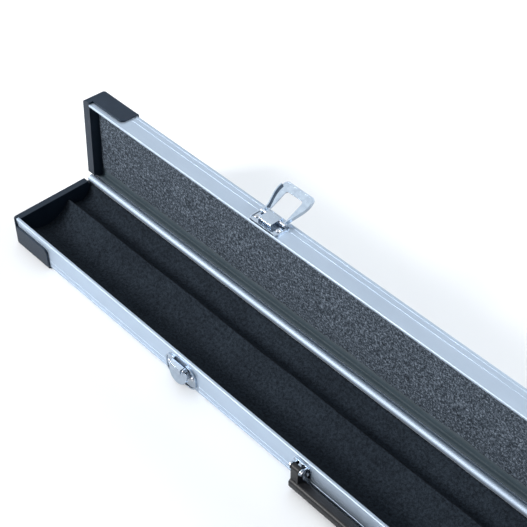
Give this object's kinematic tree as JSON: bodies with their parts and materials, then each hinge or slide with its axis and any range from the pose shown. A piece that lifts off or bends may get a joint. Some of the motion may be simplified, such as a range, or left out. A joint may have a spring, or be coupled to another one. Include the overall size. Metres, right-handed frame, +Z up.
{
  "type": "cue case",
  "caption": "Long narrow hinged case for billiard cues, with aluminium rails, moulded end caps, foam channels, a padded lid, snap latches and a folding handle.",
  "frame": {"origin": "middle of the case, level with the undersides of the end caps", "axes": "+X along the case, -Y towards the front with the latches and handle, +Z up; the lid is open at rest"},
  "size_m": [0.83, 0.1373, 0.1222],
  "materials": {
    "anodised_aluminium": "satin anodised, lengthwise grain",
    "cap_plastic": "fine moulded texture",
    "panel_laminate": "pebbled laminate",
    "channel_foam": "soft flocked foam",
    "pad_foam": "open-cell speckled foam",
    "chrome_hardware": "polished pressed steel",
    "steel_fastener": "zinc plated",
    "grip_plastic": "satin moulded"
  },
  "bodies": {
    "base": {"base_front_rail": "anodised_aluminium", "base_rear_rail": "anodised_aluminium", "base_end_cap_left": "cap_plastic", "base_end_cap_right": "cap_plastic", "base_bottom_panel": "panel_laminate", "base_foam_liner": "channel_foam", "base_cap_screws": "steel_fastener", "catch_plate_left": "chrome_hardware", "catch_plate_right": "chrome_hardware", "catch_pin_left": "steel_fastener", "catch_pin_right": "steel_fastener", "catch_rivets": "steel_fastener", "handle_bracket_left": "chrome_hardware", "handle_bracket_right": "chrome_hardware", "handle_pin_left": "steel_fastener", "handle_pin_right": "steel_fastener", "handle_rivets": "steel_fastener"},
    "lid": {"lid_front_rail": "anodised_aluminium", "lid_rear_rail": "anodised_aluminium", "lid_end_cap_left": "cap_plastic", "lid_end_cap_right": "cap_plastic", "lid_top_panel": "panel_laminate", "lid_foam_pad": "pad_foam", "lid_cap_screws": "steel_fastener", "hasp_plate_left": "chrome_hardware", "hasp_plate_right": "chrome_hardware", "hasp_pin_left": "steel_fastener", "hasp_pin_right": "steel_fastener", "hasp_rivets": "steel_fastener"},
    "hasp_left": {"hasp_loop_left": "chrome_hardware"},
    "hasp_right": {"hasp_loop_right": "chrome_hardware"},
    "lever_left": {"catch_lever_left": "chrome_hardware"},
    "lever_right": {"catch_lever_right": "chrome_hardware"},
    "handle": {"handle_grip": "grip_plastic"}
  },
  "joints": [
    {"name": "lid_hinge", "type": "hinge", "parent": "base", "child": "lid", "pos_m": [0, 0.0398, 0.0288], "axis": [1, 0, 0], "range_deg": [0, 92.5]},
    {"name": "hasp_swing_left", "type": "hinge", "parent": "lid", "child": "hasp_left", "pos_m": [-0.195, 0.05642, 0.11135], "axis": [1, 0, 0], "range_deg": [0, 154]},
    {"name": "lever_lift_left", "type": "hinge", "parent": "base", "child": "lever_left", "pos_m": [-0.195, -0.0444, 0.0206], "axis": [1, 0, 0], "range_deg": [-30, 0], "stiffness_Nm_per_rad": 0.2, "springref_deg": 5.73},
    {"name": "hasp_swing_right", "type": "hinge", "parent": "lid", "child": "hasp_right", "pos_m": [0.195, 0.05642, 0.11135], "axis": [1, 0, 0], "range_deg": [0, 154]},
    {"name": "lever_lift_right", "type": "hinge", "parent": "base", "child": "lever_right", "pos_m": [0.195, -0.0444, 0.0206], "axis": [1, 0, 0], "range_deg": [-30, 0], "stiffness_Nm_per_rad": 0.2, "springref_deg": 5.73},
    {"name": "handle_fold", "type": "hinge", "parent": "base", "child": "handle", "pos_m": [0, -0.0466, 0.0236], "axis": [-1, 0, 0], "range_deg": [0, 95]}
  ]
}
